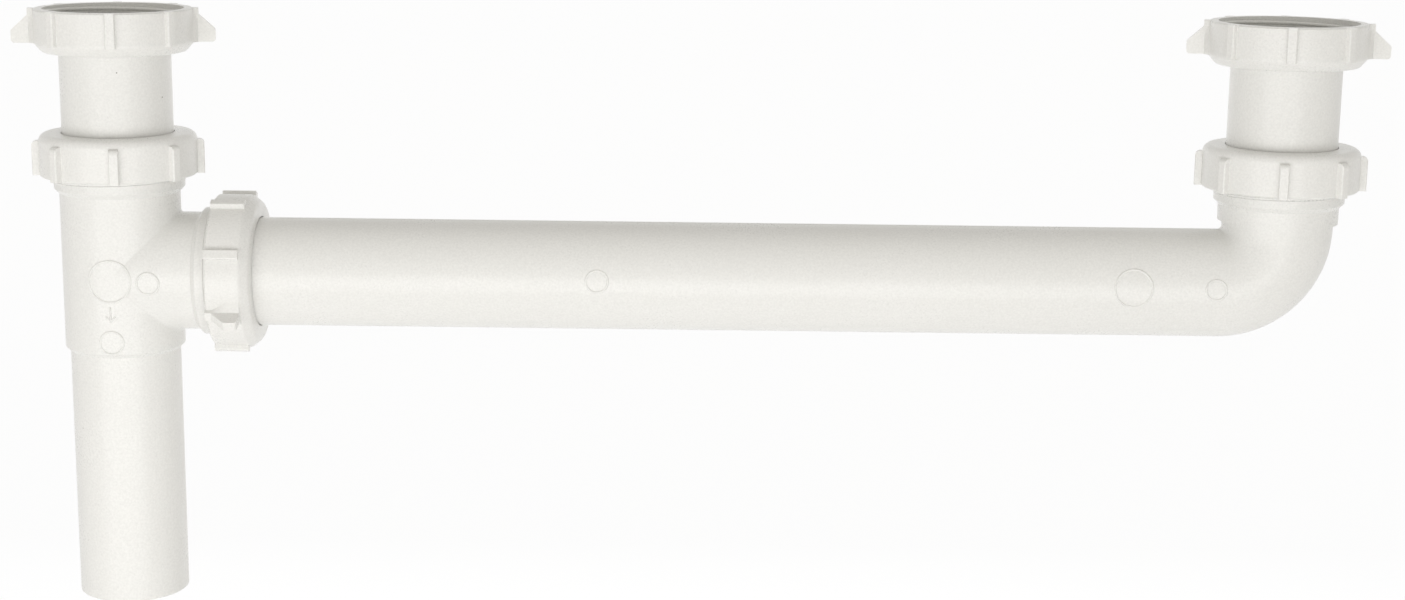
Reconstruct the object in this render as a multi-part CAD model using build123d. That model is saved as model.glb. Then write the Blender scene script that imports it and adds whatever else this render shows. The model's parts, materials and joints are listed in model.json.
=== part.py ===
"""Waste connector with end outlet: two flanged tailpieces, a long arm with an elbow, and an end outlet tee.

Millimetres, +Z up. The origin is the centre of the left sink nut's mouth, and +X runs along the arm.
"""
import os

from build123d import *

# Tubes, of the 1-1/2 in slip-joint size
tube_od = 38.1
tube_wall = 1.6
tube_edge = 0.6

# Layout
centre_distance = 406.4     # between the axes of the two tailpieces
sink_drop = 92.0            # from the sink nuts' mouths down to the arm's axis
tee_foot = 28.0             # from the arm's axis down to the tee's shoulder
spigot_length = 88.9
tube_insert = 14.0          # how far each tube goes into its socket
bend_inner_radius = 1.0     # at the elbow's inner corner
elbow_rise = 3.45           # from the end of the elbow's bend up to its socket's stop ledge
elbow_foot = 1.0            # from that ledge down to the foot of the elbow's socket
junction_fillet = 1.0       # where the tee's branch meets its upright

# Slip sockets, on the tee and on the elbow
slip_clearance = 0.3
socket_wall = 1.35
socket_depth = 20.3
stop_ledge = 0.75
thread_wall = 3.05          # from a socket's bore out to the root of its thread
thread_length = 14.0
thread_lead = 0.7
seat_flare = 2.0
seat_depth = 4.5

# Baffle inside the tee, between the two streams
baffle_offset = 4.0         # from the upright axis, on the arm's side
baffle_thickness = 1.8
baffle_drop = 17.0          # from the arm's axis down to the baffle's lip
roof_gap = 0.3              # from the top of the branch's throat up to the roof

# Slip washers
washer_clearance = 0.15
washer_rim = 2.2
washer_rim_inset = 0.3
wedge_depth = 3.2
seat_gap = 0.2              # above and below each washer's rim, and under each flange

# Nuts
nut_hole_clearance = 0.3
thread_room = 1.5           # between the root of a socket's thread and the root of its nut's
nut_wall = 3.1
nut_floor = 2.6
mouth_chamfer = 1.2
nut_edge = 0.5
slip_nut_height = 14.8
dome_radius = 2.8
sink_nut_height = 15.0
heel_height = 3.2
heel_inset = 2.7            # from a winged nut's side in to its closed end
heel_round = 2.2
relief_depth = 0.4
thread_run = 8.0            # from a sink nut's mouth down to the relief under its thread
rib_count = 8
rib_width = 3.3
rib_proud = 2.35            # on the plain nuts
grip_proud = 1.75           # on the winged nuts, for ribs and posts
rib_round = 0.5
rib_crown = 1.6             # round of the plain nuts' ribs at their closed end
wing_proud = 7.4
wing_thickness = 3.2
wing_tip = 4.4
wing_post = 2.2
wing_round = 1.2
gusset_width = 13.0
gusset_proud = 1.5

# Turn of each nut as it lies, in degrees
left_sink_turn = 11.3
top_nut_turn = 10.5
elbow_nut_turn = -11.1
right_sink_turn = -11.3
side_nut_turn = -67.0

# Tailpiece flanges and their washers
flange_inset = 1.65         # from the root of a sink nut's thread in to the flange's rim
flange_thickness = 2.2
flange_washer_thickness = 2.0
flange_washer_lip = 0.5     # the washer's bore is this much smaller than the tube's

# Derived sizes
tube_radius = tube_od / 2
tube_bore = tube_radius - tube_wall
socket_bore = tube_radius + slip_clearance
socket_radius = socket_bore + socket_wall
throat = tube_radius - stop_ledge
thread_root = socket_bore + thread_wall
nut_bore = thread_root + thread_room
nut_hole = tube_radius + nut_hole_clearance
nut_radius = nut_bore + nut_wall
post_radius = nut_radius + grip_proud
wing_radius = nut_radius + wing_proud
joint_cap = nut_floor + seat_gap + washer_rim + seat_gap
bend_radius = tube_radius + bend_inner_radius
mouth_reach = bend_radius + elbow_rise + socket_depth
elbow_step = bend_radius + elbow_rise - elbow_foot
axis_z = -sink_drop
mouth_z = axis_z + mouth_reach
shoulder_z = axis_z - tee_foot
outlet_z = shoulder_z - spigot_length
flange_z = -sink_nut_height + nut_floor + seat_gap
flange_top_z = flange_z + flange_thickness
flange_radius = nut_bore - flange_inset
tube_end_z = mouth_z - tube_insert
bend_x = centre_distance - bend_radius

# Places of the joints: local +Z points out of each socket, and out of each nut's closed end
top_joint = Location((0, 0, mouth_z))
side_joint = Location((mouth_reach, 0, axis_z), (0, 90, 0))
elbow_joint = Location((centre_distance, 0, mouth_z))
left_sink = Location((0, 0, 0), (180, 0, 0))
right_sink = Location((centre_distance, 0, 0), (180, 0, 0))


def turned(*points, rounds=None):
    """A solid turned about Z from (radius, height) points, with rounds {point number: radius}."""
    radii = [(rounds or {}).get(i, 0) for i in range(len(points))]
    outline = FilletPolyline(*points, radius=radii, close=True)
    return revolve(Plane.XZ * make_face(outline), Axis.Z)


def cylinder_between(radius, low, high):
    """A plain cylinder on Z."""
    return Pos(0, 0, low) * extrude(Circle(radius), high - low)


def socket_outline(mouth):
    """A slip socket's outside from its body up to its mouth: sloped collar, thread and lead-in."""
    collar_end = -thread_length - (thread_root - socket_radius)
    outline = [(socket_radius, collar_end), (thread_root, -thread_length), (thread_root, -thread_lead),
               (thread_root - thread_lead, 0), (0, 0)]
    return [(radius, mouth + z) for radius, z in outline]


def socket_outside(reach):
    """A slip socket's outside, with its mouth at Z 0."""
    return turned((0, -reach), (socket_radius, -reach), *socket_outline(0))


def socket_inside():
    """The space in a slip socket: the washer's cone, then the bore down to the stop ledge."""
    over = 1.0
    wide = socket_bore + seat_flare * (1 + over / seat_depth)
    return turned((0, over), (wide, over), (socket_bore, -seat_depth), (socket_bore, -socket_depth),
                  (0, -socket_depth))


def baffle():
    """The wall and roof that part the two streams, trimmed to the tee's bore."""
    bite = 0.5
    roof_low = throat + roof_gap
    roof_high = roof_low + baffle_thickness
    span = 2 * tube_od
    wall = Pos(baffle_offset + baffle_thickness / 2, 0, (roof_high - baffle_drop) / 2) * Box(
        baffle_thickness, span, roof_high + baffle_drop)
    roof = Pos(baffle_offset + span / 2, 0, (roof_low + roof_high) / 2) * Box(span, span, baffle_thickness)
    return Pos(0, 0, axis_z) * ((wall + roof) & cylinder_between(throat + bite, -baffle_drop, roof_high))


def end_outlet_tee():
    """The tee: a socket on top, a socket on the side and a baffle inside, down to its shoulder."""
    slope = socket_radius - tube_radius
    upright = turned((0, shoulder_z), (tube_radius, shoulder_z), (socket_radius, shoulder_z + slope),
                     *socket_outline(mouth_z))
    body = upright + side_joint * Rot(0, 0, 90) * socket_outside(mouth_reach)
    body = fillet(body.edges().filter_by(GeomType.ELLIPSE), junction_fillet)
    neck_z = shoulder_z + throat - tube_bore
    space = turned((0, shoulder_z), (tube_bore, shoulder_z), (throat, neck_z), (throat, mouth_z),
                   (0, mouth_z))
    branch = side_joint * cylinder_between(throat, -mouth_reach, 0)
    body = body - space - branch - top_joint * socket_inside() - side_joint * socket_inside()
    return body + baffle()


def tee_spigot():
    """The plain tube below the tee's shoulder, which carries both streams out."""
    foot = outlet_z
    return turned((tube_bore, foot), (tube_radius - tube_edge, foot), (tube_radius, foot + tube_edge),
                  (tube_radius, shoulder_z), (tube_bore, shoulder_z))


def waste_arm():
    """The arm's long straight tube, from its end in the tee to the elbow."""
    start = mouth_reach - tube_insert
    run = bend_x - start
    tube = turned((tube_bore, 0), (tube_radius - tube_edge, 0), (tube_radius, tube_edge), (tube_radius, run),
                  (tube_bore, run))
    return Location((start, 0, axis_z), (0, 90, 0)) * tube


def arm_elbow():
    """The arm's tight elbow and its upright slip socket, one moulding with the long tube."""
    bend_axis = Axis((bend_x, 0, axis_z + bend_radius), (0, -1, 0))

    def path(radius):
        section = Plane((bend_x, 0, axis_z), x_dir=(0, 1, 0), z_dir=(1, 0, 0)) * Circle(radius)
        riser = cylinder_between(radius, axis_z + bend_radius, mouth_z - thread_lead)
        return revolve(section, bend_axis, 90) + Pos(centre_distance, 0, 0) * riser

    outside = path(tube_radius) + elbow_joint * socket_outside(mouth_reach - elbow_step)
    return outside - path(tube_bore) - elbow_joint * socket_inside()


def tailpiece():
    """A short tube with a flange on top, on Z, its flange at the left sink nut."""
    foot = tube_end_z
    rim = flange_radius
    top = flange_top_z
    return turned((tube_bore, foot), (tube_radius - tube_edge, foot), (tube_radius, foot + tube_edge),
                  (tube_radius, flange_z), (rim, flange_z), (rim, top - nut_edge), (rim - nut_edge, top),
                  (tube_bore, top))


def flange_washer():
    """The flat washer on a tailpiece's flange."""
    top = flange_top_z + flange_washer_thickness
    bore = tube_bore - flange_washer_lip
    return turned((bore, flange_top_z), (flange_radius, flange_top_z), (flange_radius, top - nut_edge),
                  (flange_radius - nut_edge, top), (bore, top))


def slip_washer():
    """A slip washer: a rim under the nut's closed end and a wedge in the socket's cone."""
    bore = tube_radius + washer_clearance
    wedge_top = socket_bore + seat_flare - slip_clearance
    wedge_foot = wedge_top - seat_flare * wedge_depth / seat_depth
    rim = thread_root - washer_rim_inset
    top = seat_gap + washer_rim
    return turned((bore, -wedge_depth), (wedge_foot, -wedge_depth), (wedge_top, 0), (wedge_top, seat_gap),
                  (rim, seat_gap), (rim, top), (bore, top))


def rib(height, proud, crown=0):
    """One grip rib on +X, from a nut's mouth up, with its outer corner rounded at the far end."""
    inner = nut_radius - nut_wall / 2
    outer = nut_radius + proud
    bar = Pos((inner + outer) / 2, 0, 0) * Rectangle(outer - inner, rib_width)
    bar = fillet(bar.vertices().group_by(Axis.X)[-1], rib_round)
    side = FilletPolyline((inner, 0), (outer, 0), (outer, height), (inner, height), radius=[0, 0, crown, 0],
                          close=True)
    return extrude(bar, height) & extrude(Plane.XZ * make_face(side), rib_width, both=True)


def wing(height):
    """One wing on +X: a post at the nut's mouth, a slope, a blunt tip and a gusset at its root."""
    inner = nut_radius - nut_wall / 2
    slope_end = height - wing_tip
    points = [(inner, 0), (post_radius, 0), (post_radius, wing_post), (wing_radius, slope_end),
              (wing_radius, height), (inner, height)]
    outline = FilletPolyline(*points, radius=[0, 0, 0, wing_round, wing_round, 0], close=True)
    blade = extrude(Plane.XZ * make_face(outline), wing_thickness / 2, both=True)
    return blade + gusset(height, slope_end)


def gusset(height, slope_end):
    """The wing's root, which widens from the nut's mouth down to the wing's tip."""
    inner = nut_radius - nut_wall / 2
    outer = nut_radius + gusset_proud
    narrow = wing_thickness * 1.1
    plan = [(inner, -1), (outer, -1), (outer, 1), (inner, 1)]

    def section(width, z):
        edge = wing_thickness / 2
        points = [(x, y * (width / 2 if x == inner else edge)) for x, y in plan]
        return Pos(0, 0, z) * make_face(Polyline(*points, close=True))

    flare = loft([section(narrow, wing_post), section(gusset_width, slope_end)])
    return flare + extrude(section(gusset_width, slope_end), height - slope_end)


def slip_nut():
    """A plain slip nut with a domed shoulder, its mouth at Z 0."""
    top = slip_nut_height
    floor = top - nut_floor
    ring = turned((nut_bore + mouth_chamfer, 0), (nut_radius - nut_edge, 0), (nut_radius, nut_edge),
                  (nut_radius, top), (nut_hole, top), (nut_hole, floor), (nut_bore, floor),
                  (nut_bore, mouth_chamfer), rounds={3: dome_radius})
    rib_height = top - dome_radius
    ribs = [rib(rib_height, rib_proud, rib_crown)] * rib_count
    return ring + [Rot(0, 0, 360 * i / rib_count) * grip for i, grip in enumerate(ribs)]


def winged_nut():
    """A nut with two wings and a rounded heel, its mouth at Z 0."""
    top = sink_nut_height
    floor = top - nut_floor
    heel = top - heel_height
    groove = nut_bore + relief_depth
    ring = turned((nut_bore, 0), (nut_radius - nut_edge, 0), (nut_radius, nut_edge), (nut_radius, heel),
                  (nut_radius - heel_inset, top), (nut_hole, top), (nut_hole, floor), (groove, floor),
                  (groove, thread_run), (nut_bore, thread_run), rounds={3: heel_round, 4: heel_round})
    half = rib_count // 2
    grips = [rib(heel, grip_proud) if i % half else wing(heel) for i in range(rib_count)]
    return ring + [Rot(0, 0, 360 * i / rib_count) * grip for i, grip in enumerate(grips)]


def at_slip_joint(joint, nut, height, turn):
    """A nut on its slip joint, its closed end against the washer."""
    return joint * Pos(0, 0, joint_cap - height) * Rot(0, 0, turn) * nut


def build():
    """Every piece, by node name, in its place."""
    right = Pos(centre_distance, 0, 0)
    return {
        "end_outlet_tee": end_outlet_tee(),
        "tee_spigot": tee_spigot(),
        "tee_top_slip_nut": at_slip_joint(top_joint, slip_nut(), slip_nut_height, top_nut_turn),
        "tee_top_slip_washer": top_joint * slip_washer(),
        "tee_side_slip_nut": at_slip_joint(side_joint, winged_nut(), sink_nut_height, side_nut_turn),
        "tee_side_slip_washer": side_joint * slip_washer(),
        "waste_arm": waste_arm(),
        "arm_elbow": arm_elbow(),
        "elbow_slip_nut": at_slip_joint(elbow_joint, slip_nut(), slip_nut_height, elbow_nut_turn),
        "elbow_slip_washer": elbow_joint * slip_washer(),
        "left_tailpiece": tailpiece(),
        "left_sink_nut": left_sink * Rot(0, 0, -left_sink_turn) * winged_nut(),
        "left_flange_washer": flange_washer(),
        "right_tailpiece": right * tailpiece(),
        "right_sink_nut": right_sink * Rot(0, 0, -right_sink_turn) * winged_nut(),
        "right_flange_washer": right * flange_washer(),
    }


os.makedirs("parts", exist_ok=True)
for name, piece in build().items():
    piece.label = name
    export_step(piece, f"parts/{name}.step")
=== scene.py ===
"""Dresses the waste connector with end outlet: threads, mould marks, parting lines, finishes and the stage."""
import json
import math

import bmesh
import bpy
from bpy.props import FloatProperty, FloatVectorProperty, IntProperty, PointerProperty
from mathutils import Matrix, Vector
from mathutils.bvhtree import BVHTree


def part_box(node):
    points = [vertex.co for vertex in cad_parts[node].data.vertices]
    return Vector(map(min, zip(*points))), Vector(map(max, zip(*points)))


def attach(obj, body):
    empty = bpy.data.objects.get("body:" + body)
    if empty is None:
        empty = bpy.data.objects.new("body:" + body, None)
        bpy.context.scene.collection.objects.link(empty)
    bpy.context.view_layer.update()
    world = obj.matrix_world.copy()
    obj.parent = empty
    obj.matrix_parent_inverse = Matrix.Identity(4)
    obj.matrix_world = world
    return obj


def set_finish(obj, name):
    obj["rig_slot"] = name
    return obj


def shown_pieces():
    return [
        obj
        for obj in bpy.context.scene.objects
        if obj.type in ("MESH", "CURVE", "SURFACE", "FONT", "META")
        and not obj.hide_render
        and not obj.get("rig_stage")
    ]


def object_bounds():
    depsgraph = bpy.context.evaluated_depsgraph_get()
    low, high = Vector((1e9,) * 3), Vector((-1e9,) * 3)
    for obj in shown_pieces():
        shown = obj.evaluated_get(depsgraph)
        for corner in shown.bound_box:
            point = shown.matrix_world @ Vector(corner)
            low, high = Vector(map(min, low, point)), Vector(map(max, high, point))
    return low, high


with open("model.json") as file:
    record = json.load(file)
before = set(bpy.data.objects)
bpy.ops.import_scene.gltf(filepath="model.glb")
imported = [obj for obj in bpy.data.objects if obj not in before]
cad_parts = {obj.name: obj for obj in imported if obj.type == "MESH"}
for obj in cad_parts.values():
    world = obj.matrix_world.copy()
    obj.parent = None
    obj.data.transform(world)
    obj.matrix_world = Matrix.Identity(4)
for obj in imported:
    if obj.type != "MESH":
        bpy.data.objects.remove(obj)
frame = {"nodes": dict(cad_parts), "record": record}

bl_info = {
    "name": "Waste connector with end outlet",
    "version": (1, 0, 0),
    "blender": (4, 5, 0),
    "location": "3D View > Sidebar > Waste",
    "description": "Threads, mould marks, finishes and a stage for the waste connector",
    "category": "Object",
}

CAD_BOX = [list(corner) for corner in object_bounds()]
MM = 0.001
PHOTO_WIDTH = 1405

TEE_LOW, TEE_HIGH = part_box("end_outlet_tee")
ELBOW_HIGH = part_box("arm_elbow")[1]
ARM_LOW, ARM_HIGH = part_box("waste_arm")
SPIGOT_LOW, SPIGOT_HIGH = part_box("tee_spigot")
AXIS_Z = (ARM_LOW.z + ARM_HIGH.z) / 2
RIGHT_X = sum(corner.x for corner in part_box("right_tailpiece")) / 2

# Each socket's mouth: body, place and outward direction
SOCKETS = {
    "top": ("tee", Vector((0, 0, TEE_HIGH.z)), Vector((0, 0, 1))),
    "side": ("tee", Vector((TEE_HIGH.x, 0, AXIS_Z)), Vector((1, 0, 0))),
    "elbow": ("arm", Vector((RIGHT_X, 0, ELBOW_HIGH.z)), Vector((0, 0, 1))),
}

# The finish of what is added to each moulding's body
SLOTS = {"tee": "tee_plastic", "arm": "tube_plastic"}

# Each slip nut: node, body and the direction from its mouth to its closed end
SLIP_NUTS = {
    "tee_top_slip_nut": ("top_nut", Vector((0, 0, 1))),
    "tee_side_slip_nut": ("side_nut", Vector((1, 0, 0))),
    "elbow_slip_nut": ("elbow_nut", Vector((0, 0, 1))),
}

# Each sink nut's node and body
SINK_NUTS = {"left_sink_nut": "left_nut", "right_sink_nut": "right_nut"}

# Each lamp: place, target and size in metres, the setting with its power, and whether the plastic mirrors it
MIDDLE = (RIGHT_X / 2, 0, AXIS_Z)
LAMPS = {
    "front_lamp": ((0.0, -0.75, -0.27), (0.0, 0, -0.16), (1.3, 0.4), "front_power", True),
    "left_lamp": ((RIGHT_X / 2 - 3.0, 0.3, -0.3), MIDDLE, (1.4, 0.6), "side_power", False),
    "right_lamp": ((RIGHT_X / 2 + 3.0, 0.3, -0.3), MIDDLE, (1.4, 0.6), "side_power", False),
    "back_lamp": ((RIGHT_X / 2, 1.6, 0), MIDDLE, (1.8, 0.8), "back_power", False),
}

# The floor in metres: its front edge, back wall, radius of the bend and the wall's height; then its sides
FLOOR_PROFILE = (-4.0, 2.6, 0.8, 3.0)
FLOOR_SIDES = (-5.0, 5.4)
BEND_STEPS = 16

# A thread's turns fade in over a fifth of a turn, never quite down to the wall, and have a bevelled top
FADE_TURN = 1 / 5
LEAST_RISE = 0.02
TOP_BEVEL = 1.45

# Points along the marks, neighbours that a normal is averaged with, and how far off the rays start in metres
RING_STEPS, ARROW_STEPS, ARM_STEPS, UPRIGHT_STEPS = 72, 16, 60, 24
SMOOTH_REACH = 3
RAY_START = 0.6
BARB_SLOPE = 1.2


def length(name, description, millimetres):
    """A size that the sidebar shows as a length."""
    return FloatProperty(name=name, description=description, default=millimetres * MM, unit="LENGTH", precision=5)


def colour(name, description, default):
    """A colour that the sidebar shows as a swatch."""
    return FloatVectorProperty(name=name, description=description, default=default, subtype="COLOR", size=3,
                               min=0.0, max=1.0)


def share(name, description, default):
    """A part of one, shown as a slider."""
    return FloatProperty(name=name, description=description, default=default, min=0.0, max=1.0, subtype="FACTOR")


class ThreadSizes(bpy.types.PropertyGroup):
    """Sizes of the moulded pipe threads."""
    pitch: length("Pitch", "From one turn to the next, 11.5 turns to the inch", 25.4 / 11.5)
    socket_root: length("Socket root", "Radius of the sockets' walls between the turns", 22.4)
    socket_crest: length("Socket crest", "Radius of the sockets' turns", 23.05)
    socket_run: length("Socket run", "From a socket's mouth back to the last turn", 12.8)
    lead_in: length("Lead-in", "From a socket's mouth to the first turn", 0.9)
    sink_lead_in: length("Sink nut lead-in", "From a sink nut's mouth to the first turn", 0.3)
    slip_lead_in: length("Slip nut lead-in", "From a slip nut's mouth to the first turn", 1.35)
    nut_root: length("Nut root", "Radius of the nuts' walls between the turns", 23.9)
    slip_crest: length("Slip nut crest", "Radius of the slip nuts' turns", 23.2)
    sink_crest: length("Sink nut crest", "Radius of the sink nuts' turns", 22.95)
    sink_run: length("Sink nut run", "From a sink nut's mouth down to the last turn", 7.9)
    slip_margin: length("Slip nut margin", "From a slip nut's closed end to its last turn", 4.2)
    foot: share("Foot", "Half the width of a turn at its root, as a share of the pitch", 0.40)
    top: share("Top", "Half the width of a turn at its crest, as a share of the pitch", 0.11)
    shoulder: share("Shoulder", "Height at which a turn's crest rounds off, as a share of the whole", 0.86)
    overlap: length("Overlap", "How far a turn is sunk into its wall", 0.08)
    steps: IntProperty(name="Steps", description="Steps in one turn", default=72, min=24)


class MouldMarks(bpy.types.PropertyGroup):
    """Sizes of the raised marks and parting lines that the mould leaves."""
    bead_width: length("Bead width", "Width of a raised mark's line", 0.85)
    bead_height: length("Bead height", "How far a raised mark stands proud", 0.34)
    seam_width: length("Seam width", "Width of a parting line", 0.45)
    seam_height: length("Seam height", "How far a parting line stands proud", 0.09)
    seam_start: length("Seam start", "From the arm's end in the tee to the start of its parting lines", 26)
    seam_gap: length("Seam gap", "From the elbow to the end of the arm's parting lines", 0.2)
    spigot_foot: length("Spigot foot", "From the spigot's end to its parting lines", 1.5)
    spigot_shoulder: length("Spigot shoulder", "From the tee's foot down to the spigot's parting lines", 0.5)
    tee_foot: length("Tee foot", "From the tee's foot up to its parting line", 2.2)
    tee_collar: length("Tee collar", "From the tee's top down to its parting line", 16.2)
    arrow_length: length("Arrow length", "Length of the flow arrow on the tee", 5.2)
    arrow_width: length("Arrow width", "Width of the flow arrow's head", 3.2)
    arrow_line: length("Arrow line", "Width of the flow arrow's lines", 0.75)
    arrow_height: length("Arrow height", "How far the flow arrow stands proud", 0.42)


class PlasticFinish(bpy.types.PropertyGroup):
    """Colours and surface of the moulded plastics."""
    moulding: colour("Moulding", "The tee and the tubes", (0.815, 0.814, 0.797))
    nut: colour("Nut", "The nuts", (0.82, 0.818, 0.80))
    washer: colour("Washer", "The washers", (0.78, 0.785, 0.76))
    warm: colour("Warm drift", "What the plastic drifts towards in patches", (0.775, 0.768, 0.735))
    speck: colour("Speck", "Tiny dark specks in the plastic", (0.16, 0.13, 0.10))
    drift: share("Drift", "How far the colour drifts", 0.35)
    mottle: share("Mottle", "Strength of the fine speckle in the plastic", 0.2)
    roughness: share("Roughness", "Roughness of the mouldings", 0.30)
    grain: share("Grain", "Depth of the fine grain that the mould leaves", 0.12)
    cloud_scale: FloatProperty(name="Drift scale", description="Patches of colour to the metre", default=32.0)
    grain_scale: FloatProperty(name="Grain scale", description="Grains to the metre", default=1500.0)
    mottle_scale: FloatProperty(name="Mottle scale", description="Speckles to the metre", default=1300.0)
    speck_scale: FloatProperty(name="Speck scale", description="Places for a dark speck to the metre", default=85.0)
    speck_size: share("Speck size", "Radius of a speck, as a share of the space between their places", 0.022)
    speck_lot: share("Speck lot", "Share of the places that stay without a speck", 0.86)
    speck_depth: share("Speck depth", "How dark a speck is", 0.75)
    soft_rough: share("Soft roughness", "Roughness that a soft plastic has more", 0.12)
    cloud_rough: share("Drift roughness", "How far the roughness drifts", 0.10)
    grain_rough: share("Grain roughness", "How far the roughness changes with the grain", 0.14)
    cloud_height: share("Drift height", "Share of the drift in the surface's height; the grain has the rest", 0.4)
    bump_depth: length("Bump depth", "Height of the surface's bump", 0.4)
    refraction: FloatProperty(name="Refraction", description="Index of refraction", default=1.49)
    specular: share("Specular", "Strength of reflections", 0.42)


class StageSetting(bpy.types.PropertyGroup):
    """The camera, the floor and the lamps."""
    camera_place: FloatVectorProperty(name="Camera", description="Place of the camera",
                                      default=(0.2048, -0.7982, 0.0624), subtype="TRANSLATION", unit="LENGTH")
    yaw: FloatProperty(name="Yaw", description="Turn of the view to the right", default=0.0,
                       subtype="ANGLE")
    pitch: FloatProperty(name="Pitch", description="Tilt of the view downwards", default=math.radians(11.541),
                         subtype="ANGLE")
    roll: FloatProperty(name="Roll", description="Roll of the view", default=math.radians(-0.691), subtype="ANGLE")
    focal_pixels: FloatProperty(name="Focal length", description="Focal length in pixels of the picture",
                                default=2300.0)
    floor_drop: length("Floor drop", "From the spigot's end down to the floor", 500)
    floor: colour("Floor", "The floor and the backdrop", (0.9, 0.9, 0.9))
    floor_glow: share("Floor glow", "How far the floor looks plain white to the camera", 0.95)
    ground: colour("Ground", "What the camera sees behind the object", (0.975, 0.975, 0.975))
    ambient: colour("Ambient", "Light from all round and below", (0.402, 0.391, 0.372))
    ceiling: colour("Ceiling", "Light from above", (0.68, 0.66, 0.62))
    ceiling_way: FloatVectorProperty(name="Ceiling's way", description="Where the light from above comes from",
                                     default=(0.0, -0.64, 0.77), subtype="DIRECTION")
    ceiling_edge: share("Ceiling's edge", "How near to that way the light is at its full strength", 0.9)
    front_power: FloatProperty(name="Front lamp", description="Power of the wide front lamp", default=3.75,
                               unit="POWER")
    side_power: FloatProperty(name="Side lamps", description="Power of each side lamp", default=4.0, unit="POWER")
    back_power: FloatProperty(name="Back lamp", description="Power of the lamp behind", default=14.0, unit="POWER")


class Shade:
    """One socket of a shader tree: sums on it add Math nodes, and add() makes any other node."""

    def __init__(self, tree, socket=None):
        self.tree = tree
        self.socket = socket

    def add(self, kind, settings=None, inputs=None, output=0):
        """A new node with its settings, then its inputs' values or links; gives the named output."""
        node = self.tree.nodes.new(kind)
        for key, value in (settings or {}).items():
            setattr(node, key, value)
        for key, value in (inputs or {}).items():
            if isinstance(value, Shade):
                self.tree.links.new(value.socket, node.inputs[key])
            else:
                node.inputs[key].default_value = value
        return Shade(self.tree, node.outputs[output] if len(node.outputs) else None)

    def also(self, output):
        """Another output of the node that this socket is on."""
        return Shade(self.tree, self.socket.node.outputs[output])

    def into(self, node, key):
        """Links this socket to a node's input."""
        self.tree.links.new(self.socket, node.inputs[key])

    def math(self, operation, first, second=0.0):
        return self.add("ShaderNodeMath", {"operation": operation}, {0: first, 1: second})

    def __add__(self, other):
        return self.math("ADD", self, other)

    __radd__ = __add__

    def __sub__(self, other):
        return self.math("SUBTRACT", self, other)

    def __rsub__(self, other):
        return self.math("SUBTRACT", other, self)

    def __mul__(self, other):
        return self.math("MULTIPLY", self, other)

    __rmul__ = __mul__

    def __lt__(self, other):
        return self.math("LESS_THAN", self, other)

    def __gt__(self, other):
        return self.math("GREATER_THAN", self, other)

    def __or__(self, other):
        return self.math("MAXIMUM", self, other)

    def between(self, first, second):
        """A colour that goes from first to second as this value goes from 0 to 1."""
        return self.add("ShaderNodeMix", {"data_type": "RGBA"}, {0: self, 6: first, 7: second}, 2)


def opaque(value):
    return (*value, 1.0)


def new_material(name):
    """An empty material with a principled shader: (material, shader node, start for sums)."""
    material = bpy.data.materials.new(name)
    material.use_nodes = True
    shader = material.node_tree.nodes["Principled BSDF"]
    return material, shader, Shade(material.node_tree)


def moulded_plastic(name, base, finish, offset, soft=0.0):
    """White moulded plastic: slow drift of colour, mould grain and a few tiny specks."""
    material, shader, tree = new_material(name)
    place = tree.add("ShaderNodeTexCoord", output="Object")
    place = tree.add("ShaderNodeVectorMath", {"operation": "ADD"}, {0: place, 1: (offset, offset, offset)})
    cloud = tree.add("ShaderNodeTexNoise", None,
                     {"Vector": place, "Scale": finish.cloud_scale, "Detail": 4.0, "Roughness": 0.6}, "Fac")
    grain = tree.add("ShaderNodeTexNoise", None,
                     {"Vector": place, "Scale": finish.grain_scale, "Detail": 2.0, "Roughness": 0.5}, "Fac")
    distance = tree.add("ShaderNodeTexVoronoi", None, {"Vector": place, "Scale": finish.speck_scale}, "Distance")
    lot = tree.add("ShaderNodeSeparateColor", None, {0: distance.also("Color")}, "Red")
    speck = (distance < finish.speck_size) * (lot > finish.speck_lot)
    mottle = tree.add("ShaderNodeTexNoise", None,
                      {"Vector": place, "Scale": finish.mottle_scale, "Detail": 2.0, "Roughness": 0.6}, "Fac")
    tint = (cloud * finish.drift).between(opaque(base), opaque(finish.warm))
    tint = tree.add("ShaderNodeVectorMath", {"operation": "SCALE"},
                    {0: tint, "Scale": 1 + (mottle - 0.5) * finish.mottle})
    tint = (speck * finish.speck_depth).between(tint, opaque(finish.speck))
    tint.into(shader, "Base Color")
    rough = finish.roughness + soft * finish.soft_rough
    rough = rough + (cloud - 0.5) * finish.cloud_rough + (grain - 0.5) * finish.grain_rough
    rough.into(shader, "Roughness")
    height = grain * (1 - finish.cloud_height) + cloud * finish.cloud_height
    bump = {"Strength": finish.grain, "Distance": finish.bump_depth, "Height": height}
    tree.add("ShaderNodeBump", None, bump).into(shader, "Normal")
    shader.inputs["IOR"].default_value = finish.refraction
    shader.inputs["Specular IOR Level"].default_value = finish.specular
    return material


def add_mesh(name, mesh_builder, body, slot):
    """A new piece from a bmesh, riding on a body and taking a slot's finish."""
    mesh = bpy.data.meshes.new(name)
    bmesh.ops.recalc_face_normals(mesh_builder, faces=mesh_builder.faces)
    mesh_builder.to_mesh(mesh)
    mesh_builder.free()
    mesh.shade_smooth()
    piece = bpy.data.objects.new(name, mesh)
    bpy.context.scene.collection.objects.link(piece)
    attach(piece, body)
    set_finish(piece, slot)


def strip(builder, rings, closed=False):
    """Faces between rings of points, with caps where the strip has ends."""
    rows = [[builder.verts.new(point) for point in ring] for ring in rings]
    pairs = list(zip(rows, rows[1:]))
    if closed:
        pairs.append((rows[-1], rows[0]))
    for near, far in pairs:
        for i in range(len(near)):
            j = (i + 1) % len(near)
            builder.faces.new((near[i], near[j], far[j], far[i]))
    if not closed:
        builder.faces.new(rows[0])
        builder.faces.new(rows[-1])


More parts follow.
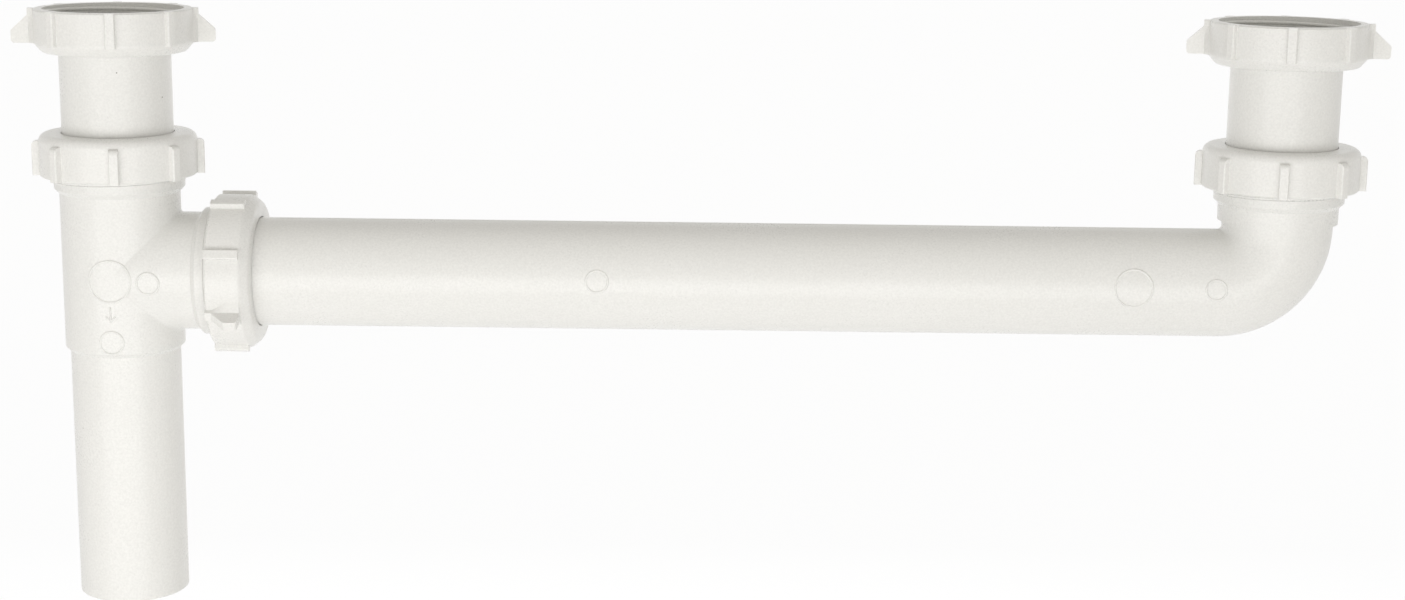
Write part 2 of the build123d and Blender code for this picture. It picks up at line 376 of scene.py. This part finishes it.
def along(direction):
    """A turn that takes +Z to a direction."""
    return Vector((0, 0, 1)).rotation_difference(direction).to_matrix().to_4x4()


def thread_ridge(root, crest, low, high, sizes, place):
    """A right-hand thread's ridge from low to high on local Z, which fades in and out at its ends."""
    sink = sizes.overlap if crest > root else -sizes.overlap
    foot, top = sizes.foot * sizes.pitch, sizes.top * sizes.pitch
    bevel = top * TOP_BEVEL
    turns = (high - low - 2 * foot) / sizes.pitch
    count = max(8, int(turns * sizes.steps))
    fade = sizes.steps * FADE_TURN
    rings = []
    for i in range(count + 1):
        angle = 2 * math.pi * turns * i / count
        height = low + foot + sizes.pitch * turns * i / count
        rise = max(LEAST_RISE, min(1.0, i / fade, (count - i) / fade))
        peak = root + (crest - root) * rise
        shoulder = root + (crest - root) * rise * sizes.shoulder
        profile = [(root - sink, -foot), (shoulder, -bevel), (peak, -top), (peak, top), (shoulder, bevel),
                   (root - sink, foot)]
        rings.append([place @ Vector((radius * math.cos(angle), radius * math.sin(angle), height + z))
                      for radius, z in profile])
    builder = bmesh.new()
    strip(builder, rings)
    return builder


def bead(points, normals, width, height, closed=False):
    """Rings of a low rounded bead that follows points on a surface."""
    section = [(-0.5, -0.35), (-0.5, 0.15), (-0.3, 0.8), (0.0, 1.0), (0.3, 0.8), (0.5, 0.15), (0.5, -0.35)]
    rings = []
    last = len(points) - 1
    for i, (point, normal) in enumerate(zip(points, normals)):
        before = points[i - 1] if closed or i else point
        after = points[(i + 1) % len(points)] if closed or i < last else point
        side = (after - before).normalized().cross(normal).normalized()
        rings.append([point + side * (x * width) + normal * (z * height) for x, z in section])
    return rings


class Surface:
    """A CAD node's surface, for marks that lie on it."""

    def __init__(self, node):
        self.tree = BVHTree.FromObject(frame["nodes"][node], bpy.context.evaluated_depsgraph_get())

    def lay(self, start, direction):
        """The point and the outward normal where a line meets the surface first."""
        point, normal, _, _ = self.tree.ray_cast(start, direction)
        if point is None:
            raise RuntimeError(f"no surface under {tuple(start)}")
        return point, normal if normal.dot(direction) < 0 else -normal

    def front(self, x, z):
        """The point and normal on the front, at a place in the front view."""
        return self.lay(Vector((x, -RAY_START, z)), Vector((0, 1, 0)))


def smoothed(normals, closed=False):
    """Each normal averaged with its neighbours, because the surface has facets."""
    count = len(normals)
    result = []
    for i in range(count):
        total = Vector()
        for step in range(-SMOOTH_REACH, SMOOTH_REACH + 1):
            j = (i + step) % count if closed else min(max(i + step, 0), count - 1)
            total += normals[j]
        result.append(total.normalized())
    return result


class WASTE_OT_socket_threads(bpy.types.Operator):
    """Moulds the outside threads on the tee's two sockets and the elbow's"""
    bl_idname = "waste.socket_threads"
    bl_label = "Socket threads"

    def execute(self, context):
        sizes = context.scene.waste_threads
        for name, (body, mouth, outward) in SOCKETS.items():
            place = Matrix.Translation(mouth) @ along(outward)
            builder = thread_ridge(sizes.socket_root, sizes.socket_crest, -sizes.socket_run, -sizes.lead_in, sizes,
                                   place)
            add_mesh(f"{name}_socket_thread", builder, body, SLOTS[body])
        return {"FINISHED"}


class WASTE_OT_nut_threads(bpy.types.Operator):
    """Moulds the inside threads of the sink nuts and the slip nuts"""
    bl_idname = "waste.nut_threads"
    bl_label = "Nut threads"

    def execute(self, context):
        sizes = context.scene.waste_threads
        for node, body in SINK_NUTS.items():
            low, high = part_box(node)
            place = Matrix.Translation(((low.x + high.x) / 2, (low.y + high.y) / 2, high.z))
            builder = thread_ridge(sizes.nut_root, sizes.sink_crest, -sizes.sink_run, -sizes.sink_lead_in, sizes,
                                   place)
            add_mesh(f"{node}_thread", builder, body, "nut_plastic")
        for node, (body, outward) in SLIP_NUTS.items():
            low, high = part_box(node)
            middle = (low + high) / 2
            centre = Vector((middle.x, 0, AXIS_Z)) if outward.x else Vector((middle.x, 0, middle.z))
            half = (high - low).dot(outward) / 2
            place = Matrix.Translation(centre - outward * half) @ along(outward)
            builder = thread_ridge(sizes.nut_root, sizes.slip_crest, sizes.slip_lead_in,
                                   2 * half - sizes.slip_margin, sizes, place)
            add_mesh(f"{node}_thread", builder, body, "nut_plastic")
        return {"FINISHED"}


class WASTE_OT_mould_marks(bpy.types.Operator):
    """Raises plain rings and a flow arrow on the fronts of the tee and the arm"""
    bl_idname = "waste.mould_marks"
    bl_label = "Mould marks"

    # Name, node, body, x, z and diameter in millimetres
    RINGS = (
        ("tee_ring", "end_outlet_tee", "tee", 0.2, -92.6, 14.6),
        ("branch_ring", "end_outlet_tee", "tee", 13.4, -93.2, 7.6),
        ("foot_ring", "end_outlet_tee", "tee", 0.2, -114.2, 8.0),
        ("arm_middle_ring", "waste_arm", "arm", 168.2, -90.8, 7.6),
        ("arm_end_ring", "waste_arm", "arm", 353.8, -91.0, 13.0),
        ("arm_small_ring", "waste_arm", "arm", 382.3, -91.2, 7.0),
    )
    ARROW = ("flow_arrow", "end_outlet_tee", "tee", 0.2, -104.2)

    def ring(self, marks, name, node, body, x, z, diameter):
        surface = Surface(node)
        laid = []
        for i in range(RING_STEPS):
            angle = 2 * math.pi * i / RING_STEPS
            laid.append(surface.front((x + diameter / 2 * math.cos(angle)) * MM,
                                      (z + diameter / 2 * math.sin(angle)) * MM))
        points = [point for point, _ in laid]
        normals = smoothed([normal for _, normal in laid], closed=True)
        builder = bmesh.new()
        strip(builder, bead(points, normals, marks.bead_width, marks.bead_height, closed=True), closed=True)
        add_mesh(name, builder, body, SLOTS[body])

    def arrow(self, marks, name, node, body, x, z):
        surface = Surface(node)
        x, z = x * MM, z * MM
        tail, tip = z + marks.arrow_length / 2, z - marks.arrow_length / 2
        barb = marks.arrow_width / 2
        slope = tip + barb * BARB_SLOPE
        lines = [((x, tail), (x, tip)), ((x - barb, slope), (x, tip)), ((x + barb, slope), (x, tip))]
        builder = bmesh.new()
        for (x0, z0), (x1, z1) in lines:
            laid = [surface.front(x0 + (x1 - x0) * i / ARROW_STEPS, z0 + (z1 - z0) * i / ARROW_STEPS)
                    for i in range(ARROW_STEPS + 1)]
            points = [point for point, _ in laid]
            normals = smoothed([normal for _, normal in laid])
            strip(builder, bead(points, normals, marks.arrow_line, marks.arrow_height))
        add_mesh(name, builder, body, SLOTS[body])

    def execute(self, context):
        marks = context.scene.waste_marks
        for ring in self.RINGS:
            self.ring(marks, *ring)
        self.arrow(marks, *self.ARROW)
        return {"FINISHED"}


class WASTE_OT_parting_lines(bpy.types.Operator):
    """Draws the fine lines where the halves of the moulds met"""
    bl_idname = "waste.parting_lines"
    bl_label = "Parting lines"

    def line(self, marks, name, node, body, starts, direction):
        surface = Surface(node)
        directions = direction if isinstance(direction, list) else [direction] * len(starts)
        laid = [surface.lay(start, heading) for start, heading in zip(starts, directions)]
        points = [point for point, _ in laid]
        normals = smoothed([normal for _, normal in laid])
        builder = bmesh.new()
        strip(builder, bead(points, normals, marks.seam_width, marks.seam_height))
        add_mesh(name, builder, body, SLOTS[body])

    def execute(self, context):
        marks = context.scene.waste_marks

        def spaced(first, second, steps):
            return [first.lerp(second, i / steps) for i in range(steps + 1)]

        up, down = Vector((0, 0, 1)), Vector((0, 0, -1))
        left, right = Vector((-1, 0, 0)), Vector((1, 0, 0))
        start, end = ARM_LOW.x + marks.seam_start, ARM_HIGH.x - marks.seam_gap
        far = RAY_START
        self.line(marks, "arm_top_line", "waste_arm", "arm",
                  spaced(Vector((start, 0, far)), Vector((end, 0, far)), ARM_STEPS), down)
        self.line(marks, "arm_foot_line", "waste_arm", "arm",
                  spaced(Vector((start, 0, -far)), Vector((end, 0, -far)), ARM_STEPS), up)
        centre = Vector((ARM_HIGH.x, 0, AXIS_Z + RIGHT_X - ARM_HIGH.x))
        angles = [math.radians(90 * i / ARM_STEPS) for i in range(1, ARM_STEPS)]
        headings = [Vector((-math.sin(angle), 0, math.cos(angle))) for angle in angles]
        starts = [centre - heading * far for heading in headings]
        self.line(marks, "elbow_line", "arm_elbow", "arm", starts, headings)
        foot, shoulder = SPIGOT_LOW.z + marks.spigot_foot, SPIGOT_HIGH.z - marks.spigot_shoulder
        self.line(marks, "spigot_left_line", "tee_spigot", "tee",
                  spaced(Vector((-far, 0, foot)), Vector((-far, 0, shoulder)), UPRIGHT_STEPS), right)
        self.line(marks, "spigot_right_line", "tee_spigot", "tee",
                  spaced(Vector((far, 0, foot)), Vector((far, 0, shoulder)), UPRIGHT_STEPS), left)
        foot, shoulder = TEE_LOW.z + marks.tee_foot, TEE_HIGH.z - marks.tee_collar
        self.line(marks, "tee_back_line", "end_outlet_tee", "tee",
                  spaced(Vector((-far, 0, foot)), Vector((-far, 0, shoulder)), UPRIGHT_STEPS), right)
        return {"FINISHED"}


class WASTE_OT_finishes(bpy.types.Operator):
    """Gives every piece its moulded plastic"""
    bl_idname = "waste.finishes"
    bl_label = "Finishes"

    def execute(self, context):
        finish = context.scene.waste_finish
        by_slot = {
            "tee_plastic": moulded_plastic("white_tee_moulding", finish.moulding, finish, 0.0),
            "tube_plastic": moulded_plastic("white_tube_moulding", finish.moulding, finish, 1.7),
            "nut_plastic": moulded_plastic("white_nut_moulding", finish.nut, finish, 3.1),
            "washer_plastic": moulded_plastic("natural_washer", finish.washer, finish, 5.3, soft=1.0),
        }
        slots = {part["node"]: part["material_slot"] for part in frame["record"]["subparts"]}
        for node, piece in frame["nodes"].items():
            for slot in piece.material_slots:
                slot.material = by_slot[slots[node]]
        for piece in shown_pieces():
            if piece.name not in frame["nodes"]:
                piece.data.materials.clear()
                piece.data.materials.append(by_slot[piece["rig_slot"]])
        return {"FINISHED"}


class WASTE_OT_stage(bpy.types.Operator):
    """Sets the pale floor, the soft lamps and the camera"""
    bl_idname = "waste.stage"
    bl_label = "Stage"

    def seen(self, tree):
        """1 for rays that should meet a white ground: from the camera, a reflection or through glass."""
        camera = tree.add("ShaderNodeLightPath", output="Is Camera Ray")
        return camera | camera.also("Is Glossy Ray") | camera.also("Is Transmission Ray")

    def floor(self, setting):
        """A wide floor that curves up into a back wall."""
        low = CAD_BOX[0][2] - setting.floor_drop
        front, back, bend, height = FLOOR_PROFILE
        profile = [(front, low), (back - bend, low)]
        for i in range(1, BEND_STEPS + 1):
            angle = math.radians(90 * i / BEND_STEPS)
            profile.append((back - bend + bend * math.sin(angle), low + bend - bend * math.cos(angle)))
        profile.append((back, low + height))
        builder = bmesh.new()
        rows = [[builder.verts.new((x, y, z)) for x in FLOOR_SIDES] for y, z in profile]
        for near, far in zip(rows, rows[1:]):
            builder.faces.new((near[0], near[1], far[1], far[0]))
        mesh = bpy.data.meshes.new("studio_floor")
        builder.to_mesh(mesh)
        builder.free()
        mesh.shade_smooth()
        floor = bpy.data.objects.new("studio_floor", mesh)
        bpy.context.scene.collection.objects.link(floor)
        floor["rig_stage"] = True
        material, shader, tree = new_material("studio_white")
        shader.inputs["Base Color"].default_value = opaque(setting.floor)
        shader.inputs["Roughness"].default_value = 0.9
        white = tree.add("ShaderNodeEmission", None, {"Color": (1, 1, 1, 1), "Strength": 1.0})
        mixed = tree.add("ShaderNodeMixShader", None, {0: self.seen(tree) * setting.floor_glow, 2: white})
        material.node_tree.links.new(shader.outputs[0], mixed.socket.node.inputs[1])
        mixed.into(material.node_tree.nodes["Material Output"], "Surface")
        floor.data.materials.append(material)

    def lamp(self, name, place, target, size, power, glint):
        light = bpy.data.lights.new(name, "AREA")
        light.shape = "RECTANGLE"
        light.size, light.size_y = size
        light.energy = power
        lamp = bpy.data.objects.new(name, light)
        lamp.location = place
        lamp.rotation_euler = (Vector(target) - Vector(place)).to_track_quat("-Z", "Y").to_euler()
        lamp.visible_camera = False
        lamp.visible_glossy = glint
        bpy.context.scene.collection.objects.link(lamp)

    def world(self, setting):
        world = bpy.context.scene.world or bpy.data.worlds.new("studio")
        bpy.context.scene.world = world
        world.use_nodes = True
        tree = Shade(world.node_tree)
        background = world.node_tree.nodes["Background"]
        facing = {0: tree.add("ShaderNodeTexCoord"), 1: setting.ceiling_way}
        rise = tree.add("ShaderNodeVectorMath", {"operation": "DOT_PRODUCT"}, facing, "Value")
        span = {"Value": rise, "From Min": 0.0, "From Max": setting.ceiling_edge}
        above = tree.add("ShaderNodeMapRange", None, span)
        light = above.between(opaque(setting.ambient), opaque(setting.ceiling))
        self.seen(tree).between(light, opaque(setting.ground)).into(background, "Color")
        background.inputs["Strength"].default_value = 1.0

    def camera(self, setting):
        yaw, pitch, roll = setting.yaw, setting.pitch, setting.roll
        forward = Vector((math.sin(yaw) * math.cos(pitch), math.cos(yaw) * math.cos(pitch), -math.sin(pitch)))
        right = Vector((math.cos(yaw), -math.sin(yaw), 0))
        down = forward.cross(right)
        across = math.cos(roll) * right + math.sin(roll) * down
        up = math.sin(roll) * right - math.cos(roll) * down
        data = bpy.data.cameras.new("photo_camera")
        data.sensor_fit = "HORIZONTAL"
        data.sensor_width = 36.0
        data.lens = setting.focal_pixels * data.sensor_width / PHOTO_WIDTH
        data.clip_start, data.clip_end = 0.01, 50.0
        camera = bpy.data.objects.new("photo_camera", data)
        turn = Matrix((across, up, -forward)).transposed().to_4x4()
        camera.matrix_world = Matrix.Translation(setting.camera_place) @ turn
        bpy.context.scene.collection.objects.link(camera)
        bpy.context.scene.camera = camera

    def execute(self, context):
        setting = context.scene.waste_stage
        self.floor(setting)
        for name, (place, target, size, power, glint) in LAMPS.items():
            self.lamp(name, place, target, size, getattr(setting, power), glint)
        self.world(setting)
        self.camera(setting)
        context.scene.view_settings.view_transform = "Standard"
        return {"FINISHED"}


STEPS = (WASTE_OT_socket_threads, WASTE_OT_nut_threads, WASTE_OT_mould_marks, WASTE_OT_parting_lines,
         WASTE_OT_finishes, WASTE_OT_stage)
SETTINGS = {"waste_threads": ThreadSizes, "waste_marks": MouldMarks, "waste_finish": PlasticFinish,
            "waste_stage": StageSetting}


class WASTE_PT_sidebar(bpy.types.Panel):
    """The steps that dress the waste connector, and their sizes"""
    bl_idname = "WASTE_PT_sidebar"
    bl_label = "Waste connector"
    bl_space_type = "VIEW_3D"
    bl_region_type = "UI"
    bl_category = "Waste"

    def draw(self, context):
        for step in STEPS:
            self.layout.operator(step.bl_idname)
        for name, group in SETTINGS.items():
            box = self.layout.box()
            box.label(text=group.__doc__)
            for key in group.__annotations__:
                box.prop(getattr(context.scene, name), key)


def register():
    for group in (*SETTINGS.values(), *STEPS, WASTE_PT_sidebar):
        bpy.utils.register_class(group)
    for name, group in SETTINGS.items():
        setattr(bpy.types.Scene, name, PointerProperty(type=group))


def unregister():
    for name in SETTINGS:
        delattr(bpy.types.Scene, name)
    for group in reversed((*SETTINGS.values(), *STEPS, WASTE_PT_sidebar)):
        bpy.utils.unregister_class(group)


def main():
    register()
    bpy.ops.waste.socket_threads()
    bpy.ops.waste.nut_threads()
    bpy.ops.waste.mould_marks()
    bpy.ops.waste.parting_lines()
    bpy.ops.waste.finishes()
    bpy.ops.waste.stage()


if __name__ == "__main__":
    main()
